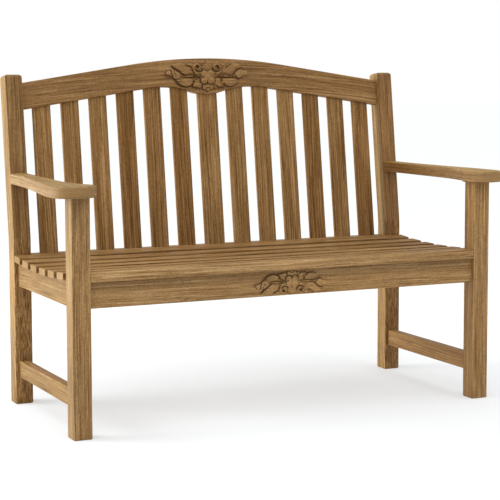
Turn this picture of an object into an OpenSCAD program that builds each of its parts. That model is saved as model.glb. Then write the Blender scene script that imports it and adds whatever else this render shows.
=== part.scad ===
// Two-seat wooden garden bench: arched crest rail, thirteen back slats, dished slatted seat,
// and a rose spray carved on the crest rail and again, upside down, on the front apron.
// X runs along the bench, Y from its front to its back, Z up. The origin is on the floor under
// the middle of the bench's box. Inside the modules Y = 0 is the front face of the front legs.

/* [Frame] */
// Length over the outer faces of the legs
frame_length = 1270; // [1180:5:1400]
// Depth at the floor, from the front of the front legs to the back of the rear posts
frame_depth = 558; // [540:1:600]
// Side of the square section of the legs and the rear posts
leg = 51; // [47:1:54]
// Radius on the long edges of the straight bars
ease = 2.5; // [1:0.5:4]
// Bevel round the soles of the legs and posts
sole_bevel = 2; // [1:0.5:4]

/* [Rear posts] */
// Height of the posts, at the front of their tops
post_height = 945; // [935:1:980]
// Angle at which the back leans, from upright
rake = 7.5; // [5:0.5:9]
// Height at which the front faces of the posts turn back
rake_height = 475; // [465:1:500]
// Radius of the bend in the posts, on their back faces
bend_radius = 250; // [150:10:350]
// Rounding of the tops of the posts
post_dome = 9; // [6:1:20]

/* [Crest rail] */
// Height of the top of the arch
crest_peak = 990; // [980:1:1010]
// Height of the rail's top edge where it meets the posts
crest_end = 920; // [910:1:925]
// Radius of the arch in its middle
crest_radius = 1640; // [1300:20:1800]
// Width of the rail where it meets the posts
crest_width = 77; // [70:1:82]
// Drop from the top of the arch to the two high points of the underside
shoulder_drop = 85; // [80:1:92]
// Distance of those high points from the middle
shoulder_reach = 145; // [130:1:160]
// Depth of the belly that hangs between them
belly_drop = 23; // [16:1:28]
// Radius of the belly
belly_radius = 170; // [140:5:200]
// Thickness of the rail
crest_t = 28; // [26:1:34]
// How far the rail's front lies behind the fronts of the posts
crest_inset = 11; // [8:1:14]

/* [Back slats] */
// Width of the twelve plain slats
back_slat_w = 54; // [44:1:58]
// Width of the slat in the middle
middle_slat_w = 64; // [54:1:70]
// Thickness of the slats
back_slat_t = 12; // [10:1:16]
// Depth of the slats' seats in the two rails
back_slat_seat = 16; // [10:1:20]

/* [Seat] */
// Height of the seat at the lowest line of its dish
seat_low = 423; // [415:1:430]
// Distance of that line from the front of the front legs
dish_line = 290; // [270:1:310]
// Radius of the dish
dish_radius = 2600; // [2300:50:3200]
// Width of a seat slat
seat_slat_w = 52; // [46:1:56]
// Thickness of a seat slat
seat_slat_t = 18; // [16:1:20]
// Gap between the hindmost seat slat and the rear posts
seat_back_gap = 4; // [2:1:8]
// Height of the front slat at its nose
front_slat_t = 27; // [24:1:30]
// How much narrower than the legs the front slat is
front_slat_trim = 1; // [0.5:0.5:4]
// Radius of the front slat's nose
nose_radius = 11; // [8:1:12]

/* [Rails and stretchers] */
// Height of the lower edges of the aprons above the floor
apron_bottom = 342; // [335:1:355]
// Thickness of the aprons, the bearer and the stretchers
rail_t = 28; // [24:1:30]
// How far the front apron lies behind the fronts of the legs
front_inset = 11; // [8:1:14]
// How far the side aprons and stretchers lie inside the outer faces of the legs
side_inset = 12; // [8:1:14]
// How far the rear seat rail lies behind the fronts of the rear posts
rear_inset = 3; // [2:0.5:6]
// Thickness of the rear seat rail
rear_rail_t = 35; // [34:1:40]
// Height of the lower edges of the side stretchers above the floor
stretcher_bottom = 78; // [60:1:100]
// Width of the side stretchers
stretcher_w = 48; // [40:1:54]
// Rise of the middle seat bearer's lower edge above the apron's
bearer_rise = 14; // [8:1:20]

/* [Arms] */
// Height of the undersides of the arms
arm_under = 633; // [620:1:650]
// Thickness of the arms
arm_t = 31; // [27:1:34]
// Radius of the round palm rest at the front
palm_radius = 61; // [56:1:66]
// Distance of the palm's centre behind the front of the legs
palm_back = 27; // [22:1:34]
// How far the palm's centre lies outside the middle of the leg
palm_out = 12; // [6:1:16]
// Where the inner side of the arm leaves the palm's shoulder
neck_back = 150; // [130:1:170]
// Slimming of the arm's inner side behind the palm
neck_in = 12; // [6:1:14]

/* [Joinery] */
// Thickness of the tenons
tenon_t = 12; // [10:1:13]
// Length of the tenons that run into the full depth of a leg or post
tenon_long = 24; // [18:1:30]
// Length of the middle bearer's tenons
bearer_tenon = 12; // [8:1:14]
// Shoulder above and below each tenon
shoulder = 8; // [6:1:10]
// Side of the square tenons on top of the front legs
arm_tenon = 30; // [24:1:34]
// Height of those tenons
arm_tenon_h = 18; // [14:1:20]
// Wall left between two tenons that pass in one leg
tenon_wall = 3; // [2:0.5:4]
// Clearance on each face of a tenon or a slat in its seat
fit = 0.2; // [0.1:0.05:0.4]
// Clearance at the bottom of a mortise
end_gap = 0.5; // [0.3:0.1:1]
// Clearance between the seat slats and the curved edges that they rest on
rest_gap = 0.1; // [0:0.05:0.2]
// Diameter of the wooden pegs
peg_d = 8; // [6:0.5:9]
// Length of the pegs that hold the seat slats
peg_l = 40; // [30:1:45]
// How far the tops of those pegs lie under the face of the slat
peg_sink = 0.3; // [0.1:0.1:1]

/* [Carving] */
// Width of the spray on the crest rail
crest_spray_w = 276; // [240:2:284]
// Height of its flower above the lowest point of the belly
crest_spray_rise = 51; // [49:0.5:54]
// Width of the spray on the front apron
apron_spray_w = 212; // [180:2:212]
// Height of its flower above the apron's lower edge
apron_spray_rise = 39.5; // [38:0.5:41]

/* [Hidden] */
$fn = 64;
back_slats = 13;
seat_slats = 6;
middle_slat = (back_slats + 1) / 2;
sides = ["left", "right"];

// Colours of the wood: boards, end-grain pegs and the darker carved rails
wood = "#a9835a";
peg_wood = "#8d6a45";

// Places along X
leg_mid = (frame_length - leg) / 2;
clear_half = frame_length / 2 - leg;
side_mid = frame_length / 2 - side_inset - rail_t / 2;
side_in = side_mid - rail_t / 2;

// Places along Y
post_front = frame_depth - leg;
front_mid = front_inset + rail_t / 2;
front_apron_back = front_inset + rail_t;
rear_rail_front = post_front + rear_inset;
rear_rail_mid = rear_rail_front + rear_rail_t / 2;

// The leaning part of the back has its own frame: X, depth behind the posts' fronts, and s up
// the slope from the line where the front faces turn back
function slope_s(z, depth) = (z - rake_height + depth * sin(rake)) / cos(rake);
post_top = slope_s(post_height, 0);
crest_mid = crest_inset + crest_t / 2;
back_slat_front = crest_mid - back_slat_t / 2;

// Arch of the crest rail
peak_s = slope_s(crest_peak, crest_inset);
end_s = slope_s(crest_end, crest_inset);
under_end_s = end_s - crest_width;
shoulder_s = peak_s - shoulder_drop;
belly_s = shoulder_s - belly_drop;
belly_turn = 2 * atan(belly_drop / shoulder_reach);
shoulder_radius = shoulder_reach / sin(belly_turn) - belly_radius;
// Turn from the top of a circle to where a line from the outer point [x, y] touches it
function touch_turn(x, y, r) = atan2(x, y) - acos(r / norm([x, y]));
crest_turn = touch_turn(clear_half, crest_radius - (peak_s - end_s), crest_radius);
shoulder_turn = touch_turn(clear_half - shoulder_reach,
    shoulder_radius - (shoulder_s - under_end_s), shoulder_radius);
belly_edge = belly_radius * sin(belly_turn);
wing_x = shoulder_reach + shoulder_radius * sin(shoulder_turn);
wing_s = shoulder_s - shoulder_radius * (1 - cos(shoulder_turn));

// Height on the slope of the crest rail's underside at x
function under_s(x) =
    abs(x) < belly_edge ? belly_s + belly_radius - sqrt(pow(belly_radius, 2) - x * x)
    : abs(x) < wing_x
        ? shoulder_s - shoulder_radius + sqrt(pow(shoulder_radius, 2) - pow(abs(x) - shoulder_reach, 2))
        : wing_s - (abs(x) - wing_x) * tan(shoulder_turn);

// Seat: slats lie tangent to a wide cylinder whose axis runs above the seat
dish_axis = seat_low + dish_radius;
function dish_z(y) = dish_axis - sqrt(pow(dish_radius, 2) - pow(y - dish_line, 2));
front_slat_w = leg - front_slat_trim;
front_slat_under = dish_z(nose_radius) - front_slat_t;
front_slat_back_top = dish_z(front_slat_w);
seat_back = post_front - seat_back_gap;
seat_gap = (seat_back - front_slat_w - seat_slats * seat_slat_w) / seat_slats;
function seat_slat_y(i) = front_slat_w + i * (seat_slat_w + seat_gap) - seat_slat_w / 2;
// Curved upper edge of the side aprons and the bearer, just clear of the slats' lower corners
rest_radius = norm([dish_radius + seat_slat_t, seat_slat_w / 2]) + rest_gap;
rear_rail_top = dish_z(seat_back);

// Back slats share the space between the posts in equal gaps
back_gap = (2 * clear_half - middle_slat_w - (back_slats - 1) * back_slat_w) / (back_slats + 1);
back_slat_step = back_slat_w + back_gap;
function back_slat_width(i) = i == middle_slat ? middle_slat_w : back_slat_w;
function back_slat_x(i) =
    i == middle_slat ? 0
    : sign(i - middle_slat) * (middle_slat_w / 2 - back_slat_w / 2
        + abs(i - middle_slat) * back_slat_step);
back_slat_foot = slope_s(rear_rail_top, back_slat_front) - back_slat_seat;
function back_slat_head(i) = under_s(back_slat_x(i)) + back_slat_seat;

// Joinery
tenon_short = leg - side_inset - rail_t / 2 - tenon_t / 2 - tenon_wall;
arm_post_tenon_h = arm_t / 2;
arm_post_tenon_w = leg / 2;
arm_mid_z = arm_under + arm_t / 2;
arm_tail = post_front + (arm_under + arm_t - rake_height) * tan(rake) + leg / 2;
arm_tenon_tip = post_front + (arm_mid_z - rake_height) * tan(rake) + tenon_long;
pin_wall = 6;
pin_l = leg - pin_wall;
pin_edge = 2 * shoulder;
sole_rise = 1.5 * sole_bevel;
hole_d = peg_d + fit;
// One piece laps another by this much where the two are joined into one solid
lap = 1;

// The box of the whole bench in Y sets the origin
box_front = palm_back - palm_radius;
post_reach = post_front + (leg - post_dome) * cos(rake) + (post_top - post_dome) * sin(rake) + post_dome;
crest_reach = post_front + (crest_inset + crest_t) * cos(rake) + peak_s * sin(rake);
origin_y = (box_front + max(post_reach, crest_reach)) / 2;

// Points on an arc, with angles from the X axis
function arc(cx, cy, r, from, to, steps) =
    [for (i = [0:steps]) let (a = from + (to - from) * i / steps) [cx + r * cos(a), cy + r * sin(a)]];
// Points on a cubic curve
function curve(a, b, c, d, steps) =
    [for (i = [0:steps]) let (t = i / steps, u = 1 - t)
        u * u * u * a + 3 * u * u * t * b + 3 * u * t * t * c + t * t * t * d];

module place() translate([0, -origin_y, 0]) children();

// From the leaning frame of the back into the bench's own
module leaning() translate([0, post_front, rake_height]) rotate([-rake, 0, 0]) children();

// The right-hand piece for side 1, its mirror image for side 0
module on_side(side) mirror([side == 0 ? 1 : 0, 0, 0]) children();

module eased(w, h, r = ease) {
    square([w - 2 * r, h], center = true);
    square([w, h - 2 * r], center = true);
    for (x = [-1, 1], y = [-1, 1])
        translate([x * (w / 2 - r), y * (h / 2 - r)]) circle(r);
}

// Bars with eased long edges, from a start point along X, Y or Z; y and z name the centre line
module bar_x(x0, x1, y, z, w, h)
    translate([x0, y, z]) rotate([90, 0, 90]) linear_extrude(x1 - x0) eased(w, h);
module bar_y(y0, y1, x, z, w, h)
    translate([x, y1, z]) rotate([90, 0, 0]) linear_extrude(y1 - y0) eased(w, h);
module bar_z(z0, z1, x, y, w, h)
    translate([x, y, z0]) linear_extrude(z1 - z0) eased(w, h);

module block(low, high) translate(low) cube(high - low);

// Tenons and, with a clearance all round, the mortises that take them
module front_rail_tenon(side, y, low, high, c = 0)
    on_side(side)
        block([clear_half - lap, y - tenon_t / 2 - c, low + shoulder - c],
            [clear_half + tenon_short + (c > 0 ? end_gap : 0), y + tenon_t / 2 + c, high - shoulder + c]);

module side_rail_tenons(low, high, c = 0) {
    tip = c > 0 ? end_gap : 0;
    for (ends = [[leg - tenon_long - tip, leg + lap], [post_front - lap, post_front + tenon_long + tip]])
        block([side_mid - tenon_t / 2 - c, ends[0], low + shoulder - c],
            [side_mid + tenon_t / 2 + c, ends[1], high - shoulder + c]);
}

side_apron_high = dish_axis - rest_radius;

module leg_tenon(c = 0)
    translate([leg_mid, leg / 2, arm_under - lap])
        linear_extrude(arm_tenon_h + lap + (c > 0 ? end_gap : 0))
            square(arm_tenon + 2 * c, center = true);

module arm_post_tenon(c = 0)
    block([leg_mid - arm_post_tenon_w / 2 - c, post_front - leg / 2, arm_mid_z - arm_post_tenon_h / 2 - c],
        [leg_mid + arm_post_tenon_w / 2 + c, arm_tenon_tip + (c > 0 ? end_gap : 0),
            arm_mid_z + arm_post_tenon_h / 2 + c]);

module crest_tenon(side, c = 0)
    leaning() on_side(side)
        block([clear_half - lap, crest_mid - tenon_t / 2 - c, under_end_s + shoulder - c],
            [clear_half + tenon_long + (c > 0 ? end_gap : 0), crest_mid + tenon_t / 2 + c,
                end_s - shoulder + c]);

// The space behind the leaning front faces of the posts
module behind_posts()
    leaning() block([-frame_length, 0, -rake_height], [frame_length, frame_depth, post_height]);

// Space round a leg, seen from one side, that leaves the bevels at its sole when it is cut to it
module bevelled_view(mid, high, rise) {
    foot = leg / 2 - sole_bevel;
    spread = 3 * sole_bevel;
    climb = 3 * rise;
    polygon([[mid - foot, 0], [mid + foot, 0], [mid + foot + spread, climb], [mid + foot + spread, high],
        [mid - foot - spread, high], [mid - foot - spread, climb]]);
}

// Pins that cross the apron tenons from the hidden rear faces of the front legs
module front_pins(d)
    for (z = [apron_bottom + pin_edge, front_slat_under - pin_edge])
        translate([clear_half + tenon_short / 2, leg, z])
            rotate([90, 0, 0]) cylinder(h = pin_l, d = d);

// Pins that cross the tenons of the rear rail and the crest rail from the backs of the posts
module rear_pins(d) {
    for (z = [apron_bottom + pin_edge, rear_rail_top - pin_edge])
        translate([clear_half + tenon_short / 2, frame_depth, z])
            rotate([90, 0, 0]) cylinder(h = pin_l, d = d);
    leaning()
        for (s = [under_end_s + pin_edge, end_s - pin_edge])
            translate([clear_half + tenon_long / 2, leg, s])
                rotate([90, 0, 0]) cylinder(h = pin_l, d = d);
}

module front_leg(side)
    color(wood) place() on_side(side)
        difference() {
            union() {
                intersection() {
                    bar_z(0, arm_under, leg_mid, leg / 2, leg, leg);
                    rotate([90, 0, 0])
                        linear_extrude(3 * leg, center = true) bevelled_view(leg_mid, arm_under, sole_rise);
                    rotate([90, 0, 90])
                        linear_extrude(frame_length) bevelled_view(leg / 2, arm_under, sole_bevel);
                }
                leg_tenon();
            }
            front_rail_tenon(1, front_mid, apron_bottom, front_slat_under, fit);
            side_rail_tenons(apron_bottom, side_apron_high, fit);
            side_rail_tenons(stretcher_bottom, stretcher_bottom + stretcher_w, fit);
            front_pins(hole_d);
        }

// From depth and height in the leaning frame to Y and Z
function leaned(p) = [post_front + p[0] * cos(rake) + p[1] * sin(rake),
    rake_height - p[0] * sin(rake) + p[1] * cos(rake)];

// Side view of a rear post, with its bend and its rounded top
module post_side() {
    bend_y = frame_depth + bend_radius;
    bend_z = rake_height - (bend_radius + leg) * tan(rake / 2);
    top = post_top - post_dome;
    polygon(concat(
        [[post_front + sole_bevel, 0], [frame_depth - sole_bevel, 0], [frame_depth, sole_bevel]],
        arc(bend_y, bend_z, bend_radius, 180, 180 - rake, 8),
        [for (p = arc(leg - post_dome, top, post_dome, 0, 90, 15)) leaned(p)],
        [for (p = arc(post_dome, top, post_dome, 90, 180, 15)) leaned(p)],
        arc(bend_y, bend_z, bend_radius + leg, 180 - rake, 180, 8),
        [[post_front, sole_bevel]]
    ));
}

module rear_post(side)
    color(wood) place() on_side(side)
        difference() {
            intersection() {
                translate([leg_mid - leg / 2, 0, 0])
                    rotate([90, 0, 90]) linear_extrude(leg) post_side();
                rotate([90, 0, 0])
                    linear_extrude(3 * frame_depth, center = true)
                        bevelled_view(leg_mid, post_height, sole_rise);
                leaning() translate([leg_mid, frame_depth, 0]) rotate([90, 0, 0])
                    linear_extrude(2 * frame_depth) domed(-post_height);
            }
            front_rail_tenon(1, rear_rail_mid, apron_bottom, rear_rail_top, fit);
            side_rail_tenons(apron_bottom, side_apron_high, fit);
            side_rail_tenons(stretcher_bottom, stretcher_bottom + stretcher_w, fit);
            arm_post_tenon(fit);
            crest_tenon(1, fit);
            rear_pins(hole_d);
        }

// Space round the leaning part of a post, seen from the front, that rounds its upper corners.
// Its arcs stop short of both ends, so that the outline crosses the post's sides and top.
module domed(low) {
    side_top = post_top - post_dome;
    short = 6;
    arc_x = leg / 2 - post_dome;
    outer_x = leg / 2 + lap;
    polygon(concat(
        [[outer_x, low], [outer_x, side_top - post_dome]],
        arc(arc_x, side_top, post_dome, short, 90 - short, 12),
        [[0, post_top + lap]],
        arc(-arc_x, side_top, post_dome, 90 + short, 180 - short, 12),
        [[-outer_x, side_top - post_dome], [-outer_x, low]]
    ));
}

// Plan of the right arm: a tail as wide as the post that sweeps out into a round palm rest.
// The handles set how far each curve runs on in its first direction before it turns.
module arm_plan() {
    palm_x = leg_mid + palm_out;
    palm_in = palm_x - palm_radius;
    palm_end = palm_x + palm_radius;
    in_x = leg_mid - leg / 2;
    out_x = leg_mid + leg / 2;
    neck_x = in_x + neck_in;
    neck_turn = neck_in / 2;
    tail_handle = neck_back - leg / 2;
    shoulder_handle = leg / 6;
    palm_handle = palm_radius / 2;
    sweep = neck_back + palm_radius + palm_handle / 2;
    polygon(concat(
        arc(palm_x, palm_back, palm_radius, 0, -180, 40),
        curve([palm_in, palm_back], [palm_in, palm_back + shoulder_handle],
            [neck_x - 1.5 * neck_turn, palm_back + 2 * neck_turn], [neck_x, neck_back], 14),
        curve([neck_x, neck_back], [neck_x + neck_turn, neck_back + palm_radius],
            [in_x, arm_tail - tail_handle], [in_x, arm_tail], 14),
        curve([out_x, arm_tail], [out_x, arm_tail - 1.9 * tail_handle],
            [out_x + palm_handle, sweep], [palm_end, palm_back + palm_handle], 20)
    ));
}

module arm(side)
    color(wood) place() on_side(side)
        difference() {
            union() {
                difference() {
                    translate([0, 0, arm_under]) linear_extrude(arm_t) arm_plan();
                    behind_posts();
                }
                difference() {
                    arm_post_tenon();
                    block([0, 0, arm_under], [frame_length, post_front, arm_under + arm_t]);
                }
            }
            leg_tenon(fit);
        }

// Outline of the crest rail on the slope
module crest_outline() {
    belly_c = belly_s + belly_radius;
    shoulder_c = shoulder_s - shoulder_radius;
    polygon(concat(
        [[-clear_half, end_s]],
        arc(0, peak_s - crest_radius, crest_radius, 90 + crest_turn, 90 - crest_turn, 24),
        [[clear_half, end_s], [clear_half, under_end_s]],
        arc(shoulder_reach, shoulder_c, shoulder_radius, 90 - shoulder_turn, 90 + belly_turn, 12),
        arc(0, belly_c, belly_radius, -90 + belly_turn, -90 - belly_turn, 16),
        arc(-shoulder_reach, shoulder_c, shoulder_radius, 90 - belly_turn, 90 + shoulder_turn, 12),
        [[-clear_half, under_end_s]]
    ));
}

// The slats and, with a clearance, their seats; in the leaning frame
module back_slat_body(i, c = 0) {
    w = back_slat_width(i);
    foot = back_slat_foot - (c > 0 ? end_gap : 0);
    head = back_slat_head(i) + (c > 0 ? end_gap : 0);
    if (c > 0)
        block([back_slat_x(i) - w / 2 - c, back_slat_front - c, foot],
            [back_slat_x(i) + w / 2 + c, back_slat_front + back_slat_t + c, head]);
    else
        bar_z(foot, head, back_slat_x(i), back_slat_front + back_slat_t / 2, w, back_slat_t);
}

module back_slat(i) color(wood) place() leaning() back_slat_body(i);

module crest_rail()
    color(wood) place()
        difference() {
            union() {
                leaning() {
                    translate([0, crest_inset + crest_t, 0])
                        rotate([90, 0, 0]) linear_extrude(crest_t) crest_outline();
                    translate([0, crest_inset, belly_s + crest_spray_rise])
                        rotate([90, 0, 0]) rose_spray(crest_spray_w);
                }
                for (side = [0, 1]) crest_tenon(side);
            }
            leaning()
                for (i = [1:back_slats]) back_slat_body(i, fit);
            for (side = [0, 1]) on_side(side) rear_pins(hole_d);
        }

module rear_seat_rail()
    color(wood) place()
        difference() {
            union() {
                bar_x(-clear_half, clear_half, rear_rail_mid, (apron_bottom + rear_rail_top) / 2,
                    rear_rail_t, rear_rail_top - apron_bottom);
                for (side = [0, 1]) front_rail_tenon(side, rear_rail_mid, apron_bottom, rear_rail_top);
            }
            leaning()
                for (i = [1:back_slats]) back_slat_body(i, fit);
            for (side = [0, 1]) on_side(side) rear_pins(hole_d);
            bearer_tenons(fit);
        }

module front_apron()
    color(wood) place()
        difference() {
            union() {
                bar_x(-clear_half, clear_half, front_mid, (apron_bottom + front_slat_under) / 2,
                    rail_t, front_slat_under - apron_bottom);
                for (side = [0, 1]) front_rail_tenon(side, front_mid, apron_bottom, front_slat_under);
                translate([0, front_inset, apron_bottom + apron_spray_rise])
                    rotate([90, 0, 0]) mirror([0, 1, 0]) rose_spray(apron_spray_w);
            }
            for (side = [0, 1]) on_side(side) front_pins(hole_d);
            bearer_tenons(fit);
            seat_peg_set(hole_d, lap);
        }

// Board on edge along Y whose upper edge follows the seat's dish; x is its middle
module dished_board(x, y0, y1, low)
    difference() {
        bar_y(y0, y1, x, (low + dish_z(0)) / 2, rail_t, dish_z(0) - low);
        translate([x - rail_t, dish_line, dish_axis])
            rotate([0, 90, 0]) cylinder(h = 2 * rail_t, r = rest_radius, $fn = 1440);
    }

module side_apron(side)
    color(wood) place() on_side(side)
        difference() {
            union() {
                dished_board(side_mid, leg, post_front, apron_bottom);
                intersection() {
                    side_rail_tenons(apron_bottom, side_apron_high);
                    block([0, leg - tenon_long, 0], [frame_length, post_front + tenon_long, seat_low]);
                }
            }
            seat_peg_set(hole_d, lap);
        }

module bearer_tenons(c = 0)
    block([-tenon_t / 2 - c, front_apron_back - bearer_tenon - (c > 0 ? end_gap : 0),
            apron_bottom + bearer_rise + shoulder - c],
        [tenon_t / 2 + c, rear_rail_front + bearer_tenon + (c > 0 ? end_gap : 0),
            side_apron_high - shoulder + c]);

module seat_bearer()
    color(wood) place()
        difference() {
            union() {
                dished_board(0, front_apron_back, rear_rail_front, apron_bottom + bearer_rise);
                difference() {
                    bearer_tenons();
                    block([-rail_t, front_apron_back + lap, 0], [rail_t, rear_rail_front - lap, seat_low]);
                }
            }
            block([-rail_t, 0, front_slat_under - rest_gap],
                [rail_t, front_slat_w + seat_gap / 2, dish_z(0) + lap]);
            seat_peg_set(hole_d, lap);
        }

module side_stretcher(side)
    color(wood) place() on_side(side) {
        bar_y(leg, post_front, side_mid, stretcher_bottom + stretcher_w / 2, rail_t, stretcher_w);
        side_rail_tenons(stretcher_bottom, stretcher_bottom + stretcher_w);
    }

// To the frame of seat slat i: X along it, Y across it, Z up from its top face
module on_dish(i) {
    turn = asin((seat_slat_y(i) - dish_line) / dish_radius);
    translate([0, dish_line, dish_axis]) rotate([turn, 0, 0]) translate([0, 0, -dish_radius]) children();
}

module seat_slat(i)
    color(wood) place()
        difference() {
            on_dish(i)
                bar_x(-frame_length / 2, frame_length / 2, 0, -seat_slat_t / 2, seat_slat_w, seat_slat_t);
            seat_peg_set(hole_d, lap);
        }

module front_seat_slat()
    color(wood) place()
        difference() {
            translate([-clear_half + rest_gap, 0, 0]) rotate([90, 0, 90])
                linear_extrude(2 * (clear_half - rest_gap)) front_slat_section();
            seat_peg_set(hole_d, lap);
        }

// Flat underside, a top that follows the dish, and a round nose over the front apron
module front_slat_section() {
    nose_top = dish_z(nose_radius);
    low_r = nose_radius / 2;
    polygon(concat(
        arc(nose_radius, nose_top - nose_radius, nose_radius, 90, 180, 12),
        arc(low_r, front_slat_under + low_r, low_r, 180, 270, 8),
        arc(front_slat_w - ease, front_slat_under + ease, ease, 270, 360, 6),
        arc(front_slat_w - ease, front_slat_back_top - ease, ease, 0, 90, 6)
    ));
}

// Pegs through the seat slats into the side aprons and the bearer, and through the front slat
// into the front apron. Their tops lie at the given height over the face of the slat.
module seat_peg_set(d, top) {
    for (i = [1:seat_slats], x = [-side_mid, 0, side_mid])
        on_dish(i) translate([x, 0, -peg_l]) cylinder(h = peg_l + top, d = d);
    foot = front_slat_under - peg_l / 2;
    for (k = [-3:2:3])
        translate([k * clear_half / 4, front_mid, foot])
            cylinder(h = dish_z(front_mid) + top - foot, d = d);
}

module seat_pegs() color(peg_wood) place() seat_peg_set(peg_d, -peg_sink);

module joint_pegs()
    color(peg_wood) place()
        for (side = [0, 1]) on_side(side) {
            front_pins(peg_d);
            rear_pins(peg_d);
        }

// Carved rose spray, drawn at its full size with the flower at the origin, X across and Y up,
// rising along Z from a ground just under Z = 0
spray_base_w = 276;
spray_ground = -2;
spray_top = 12;

module rose_spray(width)
    scale(width / spray_base_w)
        intersection() {
            block([-spray_base_w, -spray_base_w, spray_ground], [spray_base_w, spray_base_w, spray_top]);
            union() {
                rose_flower();
                rose_lobes();
                for (side = [0, 1]) mirror([side, 0, 0]) spray_branch();
            }
        }

// A low dome on a round foot of radius a and height h
module dome(a, h) {
    r = (a * a + h * h) / (2 * h);
    translate([0, 0, h - r]) sphere(r);
}

// Four petals round a button
petal_places = [[12, 11], [12.5, -10.5]];
petal_r = 11.5;

module rose_flower() {
    for (side = [-1, 1], p = petal_places)
        translate([side * p[0], p[1], 0]) dome(petal_r, 5);
    dome(6, 7);
}

// A pointed leaf from the origin along X, with a crowned face
module leaf(length, width, height) {
    r = (length * length + width * width) / (4 * width);
    roof = (width * width / 4 + height * height) / (2 * height) + height;
    intersection() {
        translate([0, 0, spray_ground])
            linear_extrude(height - spray_ground)
                intersection() {
                    translate([length / 2, width / 2 - r]) circle(r, $fn = 128);
                    translate([length / 2, r - width / 2]) circle(r, $fn = 128);
                }
        translate([-lap, 0, height - roof]) rotate([0, 90, 0]) cylinder(h = length + 2 * lap, r = roof);
    }
}

// Palmette over the flower and three lobes under it: direction, start from the middle, length
flower_leaves = [[62, 12, 33], [90, 12, 35], [118, 12, 33], [-118, 10, 25], [-90, 10, 28], [-62, 10, 25]];

module rose_lobes()
    for (f = flower_leaves) rotate(f[0]) translate([f[1], 0, 0]) leaf(f[2], 14, 3.5);

// Half-round moulding along an arc about a centre
module scroll(cx, cy, r, from, sweep, bead)
    translate([cx, cy, 0]) rotate(from)
        rotate_extrude(angle = sweep) translate([r, 0]) circle(bead);

// Leaves on the right half of the spray: root x and y, direction, length, width, height
branch_leaves = [
    [86, 2, 14, 52, 24, 6],      // rosebud at the end of the stem
    [90, 1, -4, 40, 12, 4.5],    // its lower sepal
    [90, 7, 30, 36, 10, 4.5],    // its upper sepal
    [54, 6, 23, 68, 26, 4],      // upper leaf
    [46, -16, 4, 58, 24, 4],     // lower leaf
    [20, -9, -31, 39, 18, 4],    // small leaf next to the flower
    [43, 18, 36, 34, 11, 3.5]    // horn of the volute
];
// Stem of the branch: start x and y, length, half width
stem = [20, 2, 72, 2];
// Arcs of the volute: centre x and y, radius, start, sweep, half width
volute = [[31.5, 27.5, 11.5, -110, 190, 3], [30.5, 28, 7.5, 70, 180, 2.6], [30, 28.5, 4, 240, 150, 2.2]];

module spray_branch() {
    translate([stem[0], stem[1], 0]) rotate([0, 90, 0]) cylinder(h = stem[2], r = stem[3]);
    for (f = branch_leaves) translate([f[0], f[1], 0]) rotate(f[2]) leaf(f[3], f[4], f[5]);
    for (v = volute) scroll(v[0], v[1], v[2], v[3], v[4], v[5]);
    translate([volute[2][0], volute[2][1], 0]) dome(3.5, 4);
}

crest_rail();
rear_seat_rail();
front_apron();
seat_bearer();
front_seat_slat();
seat_pegs();
joint_pegs();
for (side = [0, 1]) front_leg(side);
for (side = [0, 1]) rear_post(side);
for (side = [0, 1]) arm(side);
for (side = [0, 1]) side_apron(side);
for (side = [0, 1]) side_stretcher(side);
for (i = [1:seat_slats]) seat_slat(i);
for (i = [1:back_slats]) back_slat(i);
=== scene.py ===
"""Looks of the garden bench with the arched back: boards, carvings, wood, light and camera."""
import math

import bmesh
import bpy
import numpy as np
from mathutils import Euler, Matrix, Vector


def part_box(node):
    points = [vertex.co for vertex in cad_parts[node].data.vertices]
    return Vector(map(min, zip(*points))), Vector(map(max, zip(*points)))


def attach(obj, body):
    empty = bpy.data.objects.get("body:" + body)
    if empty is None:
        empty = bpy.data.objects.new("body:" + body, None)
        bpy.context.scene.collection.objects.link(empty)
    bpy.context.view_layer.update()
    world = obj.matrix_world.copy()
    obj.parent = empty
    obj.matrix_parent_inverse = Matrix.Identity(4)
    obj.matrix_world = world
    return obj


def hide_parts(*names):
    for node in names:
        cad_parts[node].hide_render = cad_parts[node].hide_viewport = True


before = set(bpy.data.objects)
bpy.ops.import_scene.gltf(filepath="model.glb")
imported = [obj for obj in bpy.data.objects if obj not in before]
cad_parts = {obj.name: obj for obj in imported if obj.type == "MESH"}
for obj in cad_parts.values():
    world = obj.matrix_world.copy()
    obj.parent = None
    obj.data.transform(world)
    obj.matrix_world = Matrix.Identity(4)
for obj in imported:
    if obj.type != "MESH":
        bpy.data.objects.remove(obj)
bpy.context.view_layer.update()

# Sizes of the frame in mm, with Y counted from the front face of the front legs
MM = 0.001
ORIGIN_Y = 292.1713
SPAN, DEPTH, LEG = 1270.0, 558.0, 51.0
LEG_MID = (SPAN - LEG) / 2
CLEAR_HALF = SPAN / 2 - LEG
POST_FRONT = DEPTH - LEG
RAKE = math.radians(7.5)
RAKE_HEIGHT = 475.0
EASE = 2.5
HAND = {1: "right", -1: "left"}

# Camera of the photograph: its turns in radians, its place in metres and its lens
AZIMUTH, ELEVATION, ROLL = -0.443015887, 0.0990647575, -0.0019247645
CAMERA_PLACE = (-1.96920, -4.20233, 0.97834)
SENSOR_W, LENS = 36, 116.1155
SHIFT = (-0.010834, -0.055389)
CLIP_END = 60


def add_object(name, data):
    thing = bpy.data.objects.new(name, data)
    bpy.context.scene.collection.objects.link(thing)
    return thing


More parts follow.
